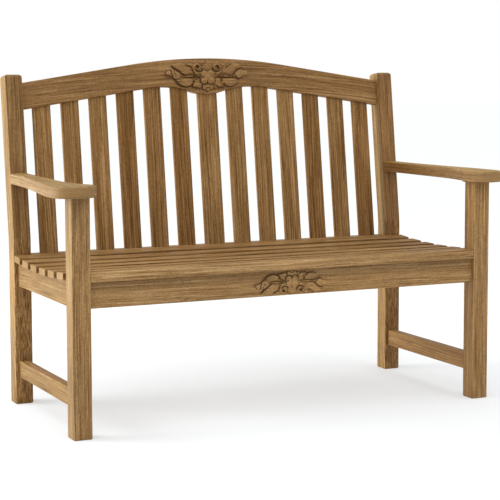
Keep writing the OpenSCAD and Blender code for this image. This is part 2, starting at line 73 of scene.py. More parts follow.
def make_camera():
    data = bpy.data.cameras.new("camera")
    camera = add_object("camera", data)
    right = Vector((math.cos(AZIMUTH), math.sin(AZIMUTH), 0))
    back = Vector((math.sin(AZIMUTH) * math.cos(ELEVATION),
                   -math.cos(AZIMUTH) * math.cos(ELEVATION), math.sin(ELEVATION)))
    up = back.cross(right)
    side = math.cos(ROLL) * right + math.sin(ROLL) * up
    top = -math.sin(ROLL) * right + math.cos(ROLL) * up
    turn = Matrix((side, top, back)).transposed().to_4x4()
    camera.matrix_world = Matrix.Translation(CAMERA_PLACE) @ turn
    data.sensor_width = SENSOR_W
    data.lens = LENS
    data.shift_x, data.shift_y = SHIFT
    data.clip_end = CLIP_END
    bpy.context.scene.camera = camera


# Mesh helpers

# Edges between faces that meet at more than this stay sharp
SHARP_ANGLE = math.radians(40)
# Wear where a rounded edge meets a flat face: it is 1 on the rounding
RIM_WEAR = 0.3
CARVED_RIM_WEAR = 0.25


def row(points):
    """From mm, with Y from the front of the legs, to the row frame in metres."""
    return (np.asarray(points, float) - (0, ORIGIN_Y, 0)) * MM


def lean(points):
    """From (x, depth, s) in the leaning frame of the back to the row frame."""
    x, d, s = np.moveaxis(np.asarray(points, float), -1, 0)
    return row(np.stack([x, POST_FRONT + d * math.cos(RAKE) + s * math.sin(RAKE),
                         RAKE_HEIGHT - d * math.sin(RAKE) + s * math.cos(RAKE)], -1))


def loft(name, rings, **layers):
    """A closed skin over rings of points, with flat ends; layers are values at the points."""
    count, size = rings.shape[:2]
    mesh = bpy.data.meshes.new(name)
    index = np.arange(count * size).reshape(count, size)
    beside = np.roll(index, -1, axis=1)
    faces = np.stack([index[:-1], beside[:-1], beside[1:], index[1:]], -1).reshape(-1, 4).tolist()
    faces += [index[0, ::-1].tolist(), index[-1].tolist()]
    mesh.from_pydata(rings.reshape(-1, 3).tolist(), [], faces)
    for layer, values in layers.items():
        values = np.broadcast_to(values, (count, size)).astype(np.float32).ravel()
        mesh.attributes.new(layer, "FLOAT", "POINT").data.foreach_set("value", values)
    work = bmesh.new()
    work.from_mesh(mesh)
    bmesh.ops.recalc_face_normals(work, faces=work.faces)
    work.to_mesh(mesh)
    work.free()
    mesh.shade_smooth()
    mesh.set_sharp_from_angle(angle=SHARP_ANGLE)
    piece = add_object(name, mesh)
    normals = piece.modifiers.new("normals", "WEIGHTED_NORMAL")
    normals.keep_sharp = True
    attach(piece, "root")
    return piece


def arc(cx, cy, r, start, end, steps):
    """Points of an arc, with its start and end in degrees."""
    a = np.radians(np.linspace(start, end, steps + 1))
    return np.stack([cx + r * np.cos(a), cy + r * np.sin(a)], -1)


def rounded_square(half, r, steps=4):
    """Outline of a square section, and the wear at each of its points."""
    inner = half - r
    corners = [arc(x * inner, y * inner, r, start, start + 90, steps)
               for x, y, start in ((1, 1, 0), (-1, 1, 90), (-1, -1, 180), (1, -1, 270))]
    wear = [RIM_WEAR] + [1.0] * (steps - 1) + [RIM_WEAR]
    return np.concatenate(corners), np.array(wear * 4)


def smooth_outline(points, sharp, steps=8):
    """Closed outline through the points, round everywhere but at the sharp ones."""
    points = np.array(points, float)
    count = len(points)
    out = []
    for i in range(count):
        p0, p1, p2, p3 = (points[(i + k) % count] for k in (-1, 0, 1, 2))
        first = (p2 - p1) if i in sharp else (p2 - p0) / 2
        last = (p2 - p1) if (i + 1) % count in sharp else (p3 - p1) / 2
        for t in np.arange(steps) / steps:
            out.append((2 * t**3 - 3 * t**2 + 1) * p1 + (t**3 - 2 * t**2 + t) * first
                       + (3 * t**2 - 2 * t**3) * p2 + (t**3 - t**2) * last)
    return np.array(out)


def dense(points, steps):
    """A smooth open line through the points."""
    points = np.array(points, float)
    padded = np.concatenate([[2 * points[0] - points[1]], points, [2 * points[-1] - points[-2]]])
    out = []
    for i in range(len(points) - 1):
        p0, p1, p2, p3 = padded[i:i + 4]
        for t in np.arange(steps) / steps:
            out.append(0.5 * (2 * p1 + (p2 - p0) * t + (2 * p0 - 5 * p1 + 4 * p2 - p3) * t**2
                              + (3 * p1 - p0 - 3 * p2 + p3) * t**3))
    return np.array(out + [points[-1]])


def mirrored(points):
    return list(points) + [(-x, y) for x, y in reversed(points) if x > 0]


# Carving

# Outlines of the spray in mm, X from its middle and Y up from the flower's centre
UPPER_LEAF = [(114, 35), (100, 24), (87, 15), (76, 8), (62, 5), (50, 8), (46, 18), (50, 28),
              (56, 32), (64, 36), (72, 41), (88, 43), (103, 41)]
LOWER_LEAF = [(104, -10), (93, -4), (78, -1), (62, -1), (50, -4), (46, -11), (48, -20), (55, -26),
              (68, -29), (84, -27), (97, -20)]
SMALL_LEAF = [(20, -4), (34, -3), (43, -4), (46, -11), (44, -17), (50, -24), (49, -31), (42, -29),
              (38, -34), (31, -31), (26, -35), (19, -31), (16, -22)]
HORN = [(66, 38), (57, 41), (48, 41), (44, 37), (47, 32), (54, 33)]
BUD = [(137, 9), (133, 17), (126, 20), (118, 19), (114, 24), (106, 22), (99, 15), (90, 10), (84, 4),
       (92, -3), (100, -6), (108, -6), (112, 0), (120, 2), (131, 4)]
LOWER_LOBES = mirrored([(0, -38), (5, -36), (8, -38), (15, -38), (18, -33), (16, -22), (10, -14)])
PALMETTE = mirrored([(0, 45), (5, 42), (8, 43), (13, 41), (16, 35), (14, 28), (12, 20), (6, 14)])
SIDE_LEAF = [(20, 5), (30, 5), (40, 8), (52, 10), (60, 9), (52, 6), (38, 3), (24, 2)]
VOLUTE = [(18, 9), (27, 9.5), (36, 11), (42, 16), (44, 23), (43, 30), (38.5, 36), (32, 38),
          (26.5, 35.5), (24, 30), (26, 25), (31, 23.5)]
# Half width of the volute at its foot and at its tip
VOLUTE_W = (5.4, 3.2)
# Middle of the bead below the flower, and its radius
BEAD, BEAD_R = (0, -39), 5
# Ellipses of the petals: X, Y and the two radii
PETALS = ((11.5, 9, 13.2, 12), (10.8, -9, 13.2, 12.5), (0, 0, 17, 16))
SPRAY_W = 276.0
# Distance that stands for far outside a shape, and the least divisor
FAR_OUT, TINY = -99.0, 1e-9
# The cut beside a shape and its painted shade: deep and dark where the shape rises towards this direction,
# and faint elsewhere
GROOVE_W = 3.0
GROOVE_DEPTH = 2.6
CUT_TOWARDS = (0.65, 0.76)
FAINT_CUT = 0.15
# Painted highlights: lighter faces of the shapes, and their still lighter rims on the side away from the
# cuts
FACE_HIGHLIGHT = -0.28
RIM_HIGHLIGHT = -0.16
# Widths over which a face gets its lightness and its rim loses it
FACE_W = 2.2
RIM_W = 4.5
# Soft shade on the ground beside a shape, on the side of the cuts
SHADE = 2.0
SHADE_W = 12.0
SHADE_POWER = 1.2
# Points between two of a gouge cut's own, the room beside them and the gain on its depth
CUT_STEPS = 5
CUT_ROOM = 3
CUT_GAIN = 1.6
# Gouge cuts: how deep and dark each one is, darkened with staining and painted shade, then the X, Y and
# half width of its points
CUTS = (
    # Left wing
    (1.0, (-115, 35, 1.4), (-109, 28, 3.0), (-100, 23, 2.6), (-91, 18, 2.0), (-83, 12, 1.8),
     (-76, 6, 1.6)),
    (0.75, (-76, 6, 1.6), (-67, 5.6, 1.6), (-60, 7, 1.2)),
    (0.85, (-53, 7, 1.4), (-46, 5.2, 1.9), (-38, 5, 1.8), (-33, 6.5, 1.2)),
    (0.9, (-88, 4, 1.2), (-80, 0.5, 1.6), (-66, -1.6, 1.7), (-50, -1.2, 1.9), (-38, -0.8, 2.6),
     (-28, -2, 2.3), (-23, -6, 1.6)),
    (0.7, (-129, 20, 1.0), (-134, 15, 1.5), (-135, 9, 1.7), (-131, 5.5, 1.6), (-122, 4.5, 1.4)),
    (0.9, (-122, 3, 1.4), (-115, -1.5, 1.6), (-108, -6, 1.8), (-102, -11, 2.6), (-96, -19, 3.2),
     (-88, -25, 3.0), (-79, -29, 2.8), (-69, -30.5, 2.6), (-59, -28, 2.2), (-51, -24, 2.0),
     (-47.5, -19, 2.2), (-45, -12, 1.8), (-40, -8, 1.6), (-34, -8.5, 1.6)),
    (0.95, (-119, 21, 1.6), (-116, 16, 2.1), (-118.5, 11, 1.8), (-114, 5, 2.1), (-113, 0, 1.5)),
    (0.85, (-110, 24, 1.6), (-107, 18, 1.9), (-108, 13, 1.7), (-103, 8, 1.9), (-104, 2, 1.4)),
    (0.35, (-98, 16, 1.2), (-96, 10, 1.4), (-93, 4, 1.2)),
    (0.5, (-99, -13, 1.4), (-92, -14, 1.5), (-84, -12, 1.0)),
    (0.3, (-90, -20, 1.2), (-82, -17, 1.2), (-74, -17, 1.0)),
    (0.6, (-46, -14, 1.8), (-41, -15, 1.3)),
    (0.9, (-49, -24, 1.8), (-50.5, -29, 2.2), (-46, -31.5, 2.0), (-41, -30.5, 1.4), (-37.5, -33, 2.5),
     (-33, -32, 1.3)),
    (0.5, (-33, -33, 1.2), (-25, -34, 1.4), (-19, -31, 1.4)),
    (0.7, (-17, -23, 1.4), (-18, -30, 1.7), (-16.5, -37, 1.7), (-12, -41, 1.5)),
    (0.6, (-8, -38, 1.3), (-4, -42, 1.6), (0, -46, 1.5)),
    # Volute and leaf tip on the left
    (0.85, (-70, 37, 1.2), (-64, 34.5, 2.2), (-57, 32.5, 1.8), (-51, 28.5, 1.8), (-47.5, 23, 2.1),
     (-45.5, 16, 2.0), (-42, 10.5, 1.5)),
    (0.95, (-35, 29, 1.2), (-34.5, 33, 1.6), (-31, 35, 1.7), (-28, 32.5, 2.3), (-28.5, 28.5, 1.9),
     (-32, 27, 1.3)),
    (0.95, (-37, 23, 1.4), (-34, 19, 2.0), (-27.5, 16.5, 1.9), (-20, 17, 1.9), (-14.5, 20, 2.8),
     (-16.5, 25, 1.5)),
    (0.8, (-17.5, 38, 1.4), (-15.5, 34, 1.8)),
    (0.5, (-13, 39, 1.1), (-12, 35, 1.2)),
    (0.7, (-9, 38, 1.2), (-5.5, 44, 1.4)),
    (0.5, (-1.5, 44, 1.1), (-1.5, 48, 1.2)),
    # Flower
    (0.8, (-20, 10, 1.2), (-22, 5, 1.5), (-19, 0.5, 1.8), (-14, -1.5, 2.2)),
    (0.75, (-21.5, -5, 1.5), (-23.5, -11, 1.7), (-20.5, -18, 1.8), (-14, -22.5, 1.8), (-6, -22, 1.7),
     (0, -19, 1.8)),
    (0.8, (0, -9.5, 1.3), (-0.5, -14, 2.2), (0.5, -19, 1.8)),
    (0.6, (1.5, -20, 1.4), (8, -23, 1.6), (16, -23, 1.6), (21, -19, 1.2)),
    (0.3, (0, 12, 1.2), (0.5, 19, 1.6)),
    # Right wing
    (0.9, (121, 29, 1.0), (112, 25, 2.0), (103, 22.5, 2.1), (97, 19, 1.9), (92, 13, 1.7), (86, 8, 1.4)),
    (0.95, (91, 8, 1.3), (93.5, 2, 2.6), (98, -3, 2.7), (106, -5.5, 2.0), (117, -3, 1.1)),
    (0.35, (109, 14, 1.2), (114, 19, 1.3)),
    (0.8, (34, 0, 1.4), (46, -1, 2.1), (62, -2, 1.9), (75, -1.2, 1.6), (88, 0, 1.4)),
    (0.6, (38, 6, 1.3), (50, 5.5, 1.6), (59, 5, 1.3)),
    (0.75, (66, 8, 1.4), (71, 4.5, 1.9), (80, 4.8, 1.5), (88, 8.5, 1.3)),
    (0.85, (54, -19, 1.8), (58, -25, 2.4), (67, -29.5, 2.1), (80, -30, 1.7), (91, -26.5, 1.2)),
    (0.35, (90, -27, 1.2), (102, -20, 1.2)),
    (0.85, (42, -7, 1.3), (48, -8, 1.9), (49, -11, 1.7), (44, -11.5, 1.2)),
    (0.9, (22, -22, 1.6), (29, -28, 2.1), (38, -33, 2.0), (44, -32, 1.4), (50, -33, 2.4),
     (55, -31.5, 1.4)),
    (0.35, (60, -9, 1.1), (75, -12, 1.2), (94, -12, 1.0)),
    (0.55, (9.5, -39, 1.4), (14, -40, 1.6), (18, -35, 1.4)),
    # Volute and leaf tip on the right
    (0.85, (82, 39.5, 1.1), (73, 35, 2.0), (66, 30.5, 2.1), (62, 26, 1.1)),
    (0.95, (31, 30, 1.2), (31.5, 33.5, 1.6), (35, 35, 1.7), (38, 32, 2.2), (37.5, 28, 1.9),
     (34, 26.5, 1.3)),
    (0.95, (20, 28, 1.3), (20.5, 23.5, 2.5), (24, 18.5, 2.1), (30.5, 16.5, 2.0), (38, 17.5, 1.9),
     (43.5, 22, 1.7), (42, 28, 1.2)),
)


def window(x, y, points, room):
    """Says which places lie in the points' box or within room of it."""
    low, high = points.min(0) - room, points.max(0) + room
    return (x > low[0]) & (x < high[0]) & (y > low[1]) & (y < high[1])


def outline(points, sharp=(0,)):
    """Shape of a closed outline: its distance is above zero inside it."""
    closed = smooth_outline(points, sharp)

    def distance(x, y):
        near = window(x, y, closed, SHADE_W)
        out = np.full(x.shape, FAR_OUT)
        px, py = x[near][:, None], y[near][:, None]
        a, b = closed, np.roll(closed, -1, axis=0)
        edge = b - a
        t = ((px - a[:, 0]) * edge[:, 0] + (py - a[:, 1]) * edge[:, 1]) / np.maximum((edge**2).sum(1), TINY)
        t = np.clip(t, 0, 1)
        gap = np.hypot(px - a[:, 0] - t * edge[:, 0], py - a[:, 1] - t * edge[:, 1]).min(1)
        off = (b[:, 0] - a[:, 0]) * (py - a[:, 1]) / np.where(edge[:, 1] == 0, TINY, edge[:, 1])
        crosses = ((a[:, 1] > py) != (b[:, 1] > py)) & (px < off + a[:, 0])
        odd = crosses.sum(1) % 2 == 1
        out[near] = np.where(odd, gap, -gap)
        return out

    return distance


def band(line, width):
    """Shape of a band along a line; width is its half width, one for all points or one for each."""
    def distance(x, y):
        best = np.full(x.shape, FAR_OUT)
        for (cx, cy), w in zip(line, np.broadcast_to(width, len(line))):
            best = np.maximum(best, w - np.hypot(x - cx, y - cy))
        return best

    return distance


def flower(x, y):
    """Distance inside the petals."""
    inside = [(1 - np.hypot((x - cx) / rx, (y - cy) / ry)) * ry for cx, cy, rx, ry in PETALS]
    return np.max(inside, axis=0)


def stem():
    """Shape of the stem from the flower to the bud; its height and half width vary in slow waves."""
    x = np.arange(18, 92, 1.5)
    sway = 2.2 + 1.3 * np.sin((x - 20) / 13) + 0.4 * np.sin(x / 5)
    return band(list(zip(x, sway)), 2.4 + 0.4 * np.sin(x / 7))


def volute():
    line = dense(VOLUTE, 10)
    return band(line, np.linspace(*VOLUTE_W, len(line)))


def gouge(x, y, points):
    """Depth of a round cut along the points, each with its half width: 1 on the line, 0 beside it."""
    near = window(x, y, points, CUT_ROOM)
    out = np.zeros(x.shape)
    px, py, width = points.T
    gaps = np.hypot(x[near][:, None] - px, y[near][:, None] - py)
    out[near] = np.clip(1 - gaps / width, 0, 1).max(1)
    return out


def carve(x, y, wide, painted_highlight):
    """Height of the rose spray over the rail's face, and its staining and painted shading: dark above zero,
    for staining and painted shade in and beside the cuts, and light below, for painted highlights on the
    faces.

    wide is a factor on the width of the gouge cuts, and painted_highlight one on the lightness of the
    faces' painted highlights.
    """
    side = np.sign(x)
    half = np.abs(x)
    height = np.zeros(x.shape)
    stain = np.zeros(x.shape)

    def add(shape, top, edge, foot=0.3, strength=0.4, light=1.0):
        """Lays a shape of that height, with a round shoulder of width edge, over what is there."""
        nonlocal height, stain
        d = shape(half, y)
        rise = shape(half + side * CUT_TOWARDS[0], y + CUT_TOWARDS[1]) - d
        deep = strength * (FAINT_CUT + (1 - FAINT_CUT) * np.clip(rise, 0, 1))
        body = foot + (top - foot) * np.sin(np.pi / 2 * np.clip(d / edge, 0, 1))
        cut = deep * np.clip(1 + d / GROOVE_W, 0, 1)
        beside = (d <= 0) & (d > -GROOVE_W)
        ground = np.where(beside, np.minimum(height, -GROOVE_DEPTH * cut), height)
        height = np.where(d > 0, body, ground)
        face = FACE_HIGHLIGHT * np.clip(d / FACE_W, 0, 1)
        face = face + RIM_HIGHLIGHT * np.clip(-rise, 0, 1) * np.clip(1 - d / RIM_W, 0, 1)
        shoulder = np.clip(1 - d / FACE_W, 0, 1) * deep + painted_highlight * light * face
        shade = SHADE * strength * np.clip(rise, 0, 1) * np.clip(1 + d / SHADE_W, 0, 1)**SHADE_POWER
        stain = np.where(d > 0, shoulder, np.maximum(stain + shade, np.where(beside, cut, -1)))

    add(outline(PALMETTE, sharp=(1,)), top=2.4, edge=9, strength=0.15, light=0.0)
    add(outline(UPPER_LEAF), top=3.2, edge=10, light=0.6)
    add(outline(LOWER_LEAF), top=4.0, edge=10)
    add(outline(SMALL_LEAF, sharp=(3, 5, 7, 9)), top=4.2, edge=8, light=0.7)
    add(outline(SIDE_LEAF), top=3.0, edge=3, strength=0.15)
    add(stem(), top=3.4, edge=2.6, strength=0.25)
    add(outline(BUD, sharp=(3, 12)), top=5.0, edge=12, light=1.35)
    add(outline(HORN), top=2.6, edge=5, strength=0.25)
    add(volute(), top=4.8, edge=4.6, strength=0.2)
    add(outline(LOWER_LOBES, sharp=(2,)), top=3.6, edge=9, strength=0.3)
    add(band([BEAD], BEAD_R), top=4.4, edge=5, strength=0.2)
    add(flower, top=5.6, edge=14, foot=0.6, strength=0.3)
    # Each gouge cut deepens the relief and darkens it with staining and painted shade
    for strength, *points in CUTS:
        cut = strength * np.clip(CUT_GAIN * gouge(x, y, dense(points, CUT_STEPS) * (1, 1, wide)), 0, 1)
        height = height - GROOVE_DEPTH * cut
        stain = stain + cut * (1 - stain)
    return height, stain


# Carved boards

CARVED_ROWS = 124
BOARD_FRONT, BOARD_T = 11.0, 28.0
# How far the visual boards reach into the posts
IN_JOINT = 1.0
# Heights up the lean of the crest's parts, and the radii of its arcs
BELLY_S = 412.892
SHOULDER_S, PEAK_S = BELLY_S + 23, BELLY_S + 108
END_S = 450.288
UNDER_END_S = END_S - 77
CREST_R, BELLY_R = 1640.0, 170.0
SHOULDER_X = 145.0
APRON_LOW, APRON_HIGH = 342.0, 411.0
# Heights of the flowers' centres
CREST_FLOWER, APRON_FLOWER = BELLY_S + 51, APRON_LOW + 39.5
# The crest's spray and the apron's: half width of the fine columns, their pitch and that of the others
CREST_COLUMNS, APRON_COLUMNS = (141, 0.85, 9.0), (109, 0.7, 12.0)
# The apron's spray: its width, its shift in both directions, and how far it is stretched
APRON_SPRAY_W = 212.0
APRON_SHIFT = 1.5
APRON_WIDER, APRON_BELOW, APRON_ABOVE = 1.055, 1.08, 0.93


def touch_turn(x, y, r):
    """Turn from upright at which an arc about the origin touches the line from (x, y)."""
    return math.atan2(x, y) - math.acos(r / math.hypot(x, y))


BELLY_TURN = 2 * math.atan((SHOULDER_S - BELLY_S) / SHOULDER_X)
SHOULDER_R = SHOULDER_X / math.sin(BELLY_TURN) - BELLY_R
CREST_TURN = touch_turn(CLEAR_HALF, CREST_R - (PEAK_S - END_S), CREST_R)
SHOULDER_TURN = touch_turn(CLEAR_HALF - SHOULDER_X, SHOULDER_R - (SHOULDER_S - UNDER_END_S), SHOULDER_R)


def crest_top(x):
    ax = np.abs(x)
    edge = CREST_R * math.sin(CREST_TURN)
    arch = PEAK_S - CREST_R + np.sqrt(CREST_R**2 - np.minimum(ax, edge)**2)
    return arch - np.maximum(ax - edge, 0) * math.tan(CREST_TURN)


def crest_under(x):
    ax = np.abs(x)
    belly_x = BELLY_R * math.sin(BELLY_TURN)
    belly = BELLY_S + BELLY_R - np.sqrt(BELLY_R**2 - np.minimum(ax, belly_x)**2)
    wing_x = SHOULDER_X + SHOULDER_R * math.sin(SHOULDER_TURN)
    off = np.minimum(ax, wing_x) - SHOULDER_X
    swell = SHOULDER_S - SHOULDER_R + np.sqrt(SHOULDER_R**2 - off**2)
    swell = swell - np.maximum(ax - wing_x, 0) * math.tan(SHOULDER_TURN)
    return np.where(ax < belly_x, belly, swell)


def board_columns(reach, fine, coarse):
    """X of a board's sections, close together where the spray is."""
    middle = np.arange(-reach, reach + fine / 2, fine)
    wing = np.arange(reach + coarse, CLEAR_HALF, coarse)
    end = CLEAR_HALF + IN_JOINT
    return np.concatenate([[-end], -wing[::-1], middle, wing, [end]])


def board_back(low, high):
    """Section of a board from the top of its front, round its back, to the foot of its front."""
    front, back = BOARD_FRONT + EASE, BOARD_FRONT + BOARD_T - EASE
    low, high = low + EASE, high - EASE
    return np.concatenate([arc(front, high, EASE, 157.5, 90, 3), arc(back, high, EASE, 90, 0, 4),
                           arc(back, low, EASE, 0, -90, 4), arc(front, low, EASE, -90, -157.5, 3)])


def carved_board(name, node, x, low, high, spray, transform):
    """A board along X, carved on its front. low and high are its edges at each x."""
    fraction = np.linspace(0, 1, CARVED_ROWS)
    level = (low + EASE)[:, None] + fraction * (high - low - 2 * EASE)[:, None]
    reliefs, shades = spray(np.broadcast_to(x[:, None], level.shape), level)
    rings, stains = [], []
    for px, bottom, top, s, relief, stain in zip(x, low, high, level, reliefs, shades):
        ring = np.concatenate([np.stack([BOARD_FRONT - relief, s], -1), board_back(bottom, top)])
        rings.append(np.column_stack([np.full(len(ring), px), ring]))
        stains.append(np.pad(stain, (0, len(ring) - CARVED_ROWS)))
    flat, rounding = [CARVED_RIM_WEAR], [1.0] * 3
    face = flat + [0.0] * (CARVED_ROWS - 2) + flat
    wear = face + (rounding + flat + flat) * 3 + rounding
    piece = loft(name, transform(np.array(rings)), stain=np.array(stains), edge=np.array(wear))
    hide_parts(node)
    return piece


def make_crest():
    def spray(x, s):
        return carve(x, s - CREST_FLOWER, wide=1.25, painted_highlight=1.0)

    x = board_columns(*CREST_COLUMNS)
    return carved_board("crest_rail_carved", "crest_rail", x, crest_under(x), crest_top(x), spray, lean)


def make_apron():
    scale = APRON_SPRAY_W / SPRAY_W

    def spray(x, z):
        """The spray upside down, smaller and with weaker painted highlights on its faces."""
        up = (APRON_FLOWER - z) / scale - APRON_SHIFT
        up = np.where(up > 0, up / APRON_BELOW, up / APRON_ABOVE)
        height, stain = carve((x / scale - APRON_SHIFT) / APRON_WIDER, up, wide=1.5, painted_highlight=0.5)
        return height * scale, stain

    x = board_columns(*APRON_COLUMNS)
    low, high = np.full(len(x), APRON_LOW), np.full(len(x), APRON_HIGH)
    return carved_board("front_apron_carved", "front_apron", x, low, high, spray, row)


# Arms

ARM_LOW, ARM_HIGH = 633.0, 664.0
TOP_ROUND, LOW_ROUND = 7.0, 4.0
PALM_X, PALM_Y, PALM_R = LEG_MID + 12, 27.0, 61.0
PALM_IN, PALM_OUT = PALM_X - PALM_R, PALM_X + PALM_R
TAIL_Y, TAIL_IN, TAIL_OUT = 557.4, CLEAR_HALF, CLEAR_HALF + LEG
NECK = (596.0, 150.0)
# Handles of the curves from the tail to the palm rest, from there to the neck and on to the tail
OUTER_HANDLES = (TAIL_OUT, 320.8), (665.5, 226.25)
SHOULDER_HANDLES = (PALM_IN, 35.5), (587, 39)
INNER_HANDLES = (602, 211), (TAIL_IN, 432.9)
# How far the tail reaches into the post
IN_POST = 0.3
ARM_POINTS = 240


def bezier(a, b, c, d, steps):
    a, b, c, d = np.array((a, b, c, d))
    t = np.linspace(0, 1, steps + 1)[:, None]
    u = 1 - t
    return u**3 * a + 3 * u * u * t * b + 3 * u * t * t * c + t**3 * d


def resampled(line, count):
    """The same line with that many points, evenly spaced."""
    along = np.concatenate([[0], np.cumsum(np.hypot(*np.diff(line, axis=0).T))])
    at = np.linspace(0, along[-1], count)
    return np.stack([np.interp(at, along, line[:, k]) for k in (0, 1)], -1)


def arm_line():
    """The right arm in plan, from the tail's outer corner round the palm rest to its inner one."""
    outer = bezier((TAIL_OUT, TAIL_Y), *OUTER_HANDLES, (PALM_OUT, PALM_Y + PALM_R / 2), 60)
    palm = arc(PALM_X, PALM_Y, PALM_R, 0, -180, 48)
    shoulder = bezier((PALM_IN, PALM_Y), *SHOULDER_HANDLES, NECK, 26)
    inner = bezier(NECK, *INNER_HANDLES, (TAIL_IN, TAIL_Y), 40)
    return np.concatenate([outer, palm, shoulder[1:], inner[1:]])


def make_arm(side):
    """side is 1 for the right arm and -1 for the left one."""
    line = arm_line()
    tangent = np.gradient(line, axis=0)
    tangent /= np.linalg.norm(tangent, axis=1)[:, None]
    inward = np.stack([tangent[:, 1], -tangent[:, 0]], -1)
    levels = [(LOW_ROUND * (1 - math.sin(a)), ARM_LOW + LOW_ROUND * (1 - math.cos(a)))
              for a in np.radians(np.linspace(0, 90, 6))]
    levels += [(TOP_ROUND * (1 - math.cos(a)), ARM_HIGH - TOP_ROUND * (1 - math.sin(a)))
               for a in np.radians(np.linspace(0, 90, 9))]
    rings = []
    for inset, z in levels:
        seat = POST_FRONT + (z - RAKE_HEIGHT) * math.tan(RAKE) + IN_POST
        ring = line + inward * inset
        ring = ring[ring[:, 1] < seat]
        ring = np.concatenate([[[TAIL_OUT - inset, seat]], ring, [[TAIL_IN + inset, seat]]])
        ring = resampled(ring, ARM_POINTS)
        rings.append(np.column_stack([ring * (side, 1), np.full(len(ring), z)]))
    wear = np.ones((len(levels), ARM_POINTS))
    wear[[0, -1]] = RIM_WEAR
    rim = np.array([min(1.0, (ARM_HIGH - z) / TOP_ROUND) for _, z in levels])[:, None]
    run = np.concatenate([[0], np.cumsum(np.linalg.norm(np.diff(rings[0], axis=0), axis=1))]) * MM
    name = "arm_" + HAND[side]
    piece = loft(name + "_shaped", row(np.array(rings)), edge=wear, rim=rim, run=run)
    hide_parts(name)
    return piece


# Rear posts

POST_TOP_S, POST_DOME, BEND_R = 474.06, 9.0, 250.0
# Bevel of the soles, wear of the domed tops, and growth of the corners' radius with the inset there
SOLE_INSET, SOLE_HEIGHT = 2.0, 2.5
DOME_WEAR = 0.7
DOME_GROWTH = 0.35


def post_sections():
    """Each section of a post: its middle's Y and Z, its turn, its inset and its corners' radius."""
    half = LEG / 2
    foot = [(POST_FRONT + half, 0, 0, SOLE_INSET, EASE)]
    foot += [(POST_FRONT + half, z, 0, 0, EASE) for z in (SOLE_HEIGHT, *np.linspace(40, 440, 11))]
    bend_y, bend_z = POST_FRONT + LEG + BEND_R, RAKE_HEIGHT - (BEND_R + LEG) * math.tan(RAKE / 2)
    bend_mid = BEND_R + half
    bend = [(bend_y - bend_mid * math.cos(a), bend_z + bend_mid * math.sin(a), a, 0, EASE)
            for a in np.linspace(0, RAKE, 8)]
    slope = [(s, 0) for s in np.linspace(40, POST_TOP_S - POST_DOME, 12)]
    slope += [(POST_TOP_S - POST_DOME * (1 - math.sin(a)), POST_DOME * (1 - math.cos(a)))
              for a in np.radians(np.linspace(10, 90, 9))]
    back = [(POST_FRONT + half * math.cos(RAKE) + s * math.sin(RAKE),
             RAKE_HEIGHT - half * math.sin(RAKE) + s * math.cos(RAKE),
             RAKE, inset, EASE + DOME_GROWTH * inset) for s, inset in slope]
    return foot + bend + back


def make_post(side):
    rings, edges = [], []
    for y, z, turn, inset, r in post_sections():
        section, wear = rounded_square(LEG / 2 - inset, r)
        u, v = section.T
        rings.append(np.stack([side * (LEG_MID + u), y + v * math.cos(turn), z - v * math.sin(turn)], -1))
        edges.append(wear if inset == 0 else np.maximum(wear, DOME_WEAR))
    name = "rear_post_" + HAND[side]
    piece = loft(name + "_shaped", row(np.array(rings)), edge=np.array(edges))
    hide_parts(name)
    return piece


# Wood

class Nodes:
    """Adds shader nodes to a material and joins them up."""

    def __init__(self, material):
        self.tree = material.node_tree
        self.tree.nodes.clear()

    def new(self, kind, inputs=(), **settings):
        node = self.tree.nodes.new(kind)
        for key, value in settings.items():
            setattr(node, key, value)
        for key, value in dict(inputs).items():
            self.plug(node.inputs[key], value)
        return node

    def plug(self, socket, value):
        if isinstance(value, bpy.types.NodeSocket):
            self.tree.links.new(value, socket)
        else:
            socket.default_value = value

    def attribute(self, layer):
        return self.new("ShaderNodeAttribute", attribute_name=layer).outputs["Fac"]

    def math(self, operation, a, b=0.0, c=0.0, clamp=False):
        inputs = {0: a, 1: b, 2: c}
        return self.new("ShaderNodeMath", inputs, operation=operation, use_clamp=clamp).outputs[0]

    def vector(self, operation, a, b=(0, 0, 0), c=(0, 0, 0)):
        node = self.new("ShaderNodeVectorMath", {0: a, 1: b, 2: c}, operation=operation)
        return node.outputs["Value" if operation in ("LENGTH", "DOT_PRODUCT") else "Vector"]

    def split(self, vector):
        return self.new("ShaderNodeSeparateXYZ", {0: vector}).outputs

    def join(self, x, y, z):
        return self.new("ShaderNodeCombineXYZ", {0: x, 1: y, 2: z}).outputs[0]

    def noise(self, vector, detail, roughness):
        return self.new("ShaderNodeTexNoise", {"Vector": vector, "Scale": 1.0, "Detail": detail,
                                               "Roughness": roughness}).outputs

    def spread(self, value, low, high, to_low=0.0, to_high=1.0, smooth=False):
        return self.new("ShaderNodeMapRange", {"Value": value, "From Min": low, "From Max": high,
                                               "To Min": to_low, "To Max": to_high},
                        interpolation_type="SMOOTHSTEP" if smooth else "LINEAR").outputs["Result"]

    def mix(self, factor, a, b, blend="MIX"):
        """Colours a and b, or with the blend MULTIPLY a and a times b."""
        node = self.new("ShaderNodeMix", {0: factor}, data_type="RGBA", blend_type=blend)
        self.plug(node.inputs[6], a)
        self.plug(node.inputs[7], b)
        return node.outputs[2]


def new_material(name):
    material = bpy.data.materials.new(name)
    material.use_nodes = True
    return material


# Turn that brings each grain direction to the wood's own X axis, and a straight board's axes across it
GRAIN_TURN = {"x": (0, 0, 0), "y": (0, 0, -math.pi / 2), "z": (0, math.pi / 2, 0),
              "slope": (RAKE, math.pi / 2, 0), "crest": (RAKE, 0, 0)}
SECTION_AXES = {"x": (1, 2), "y": (0, 2), "z": (1, 0), "slope": (1, 0)}
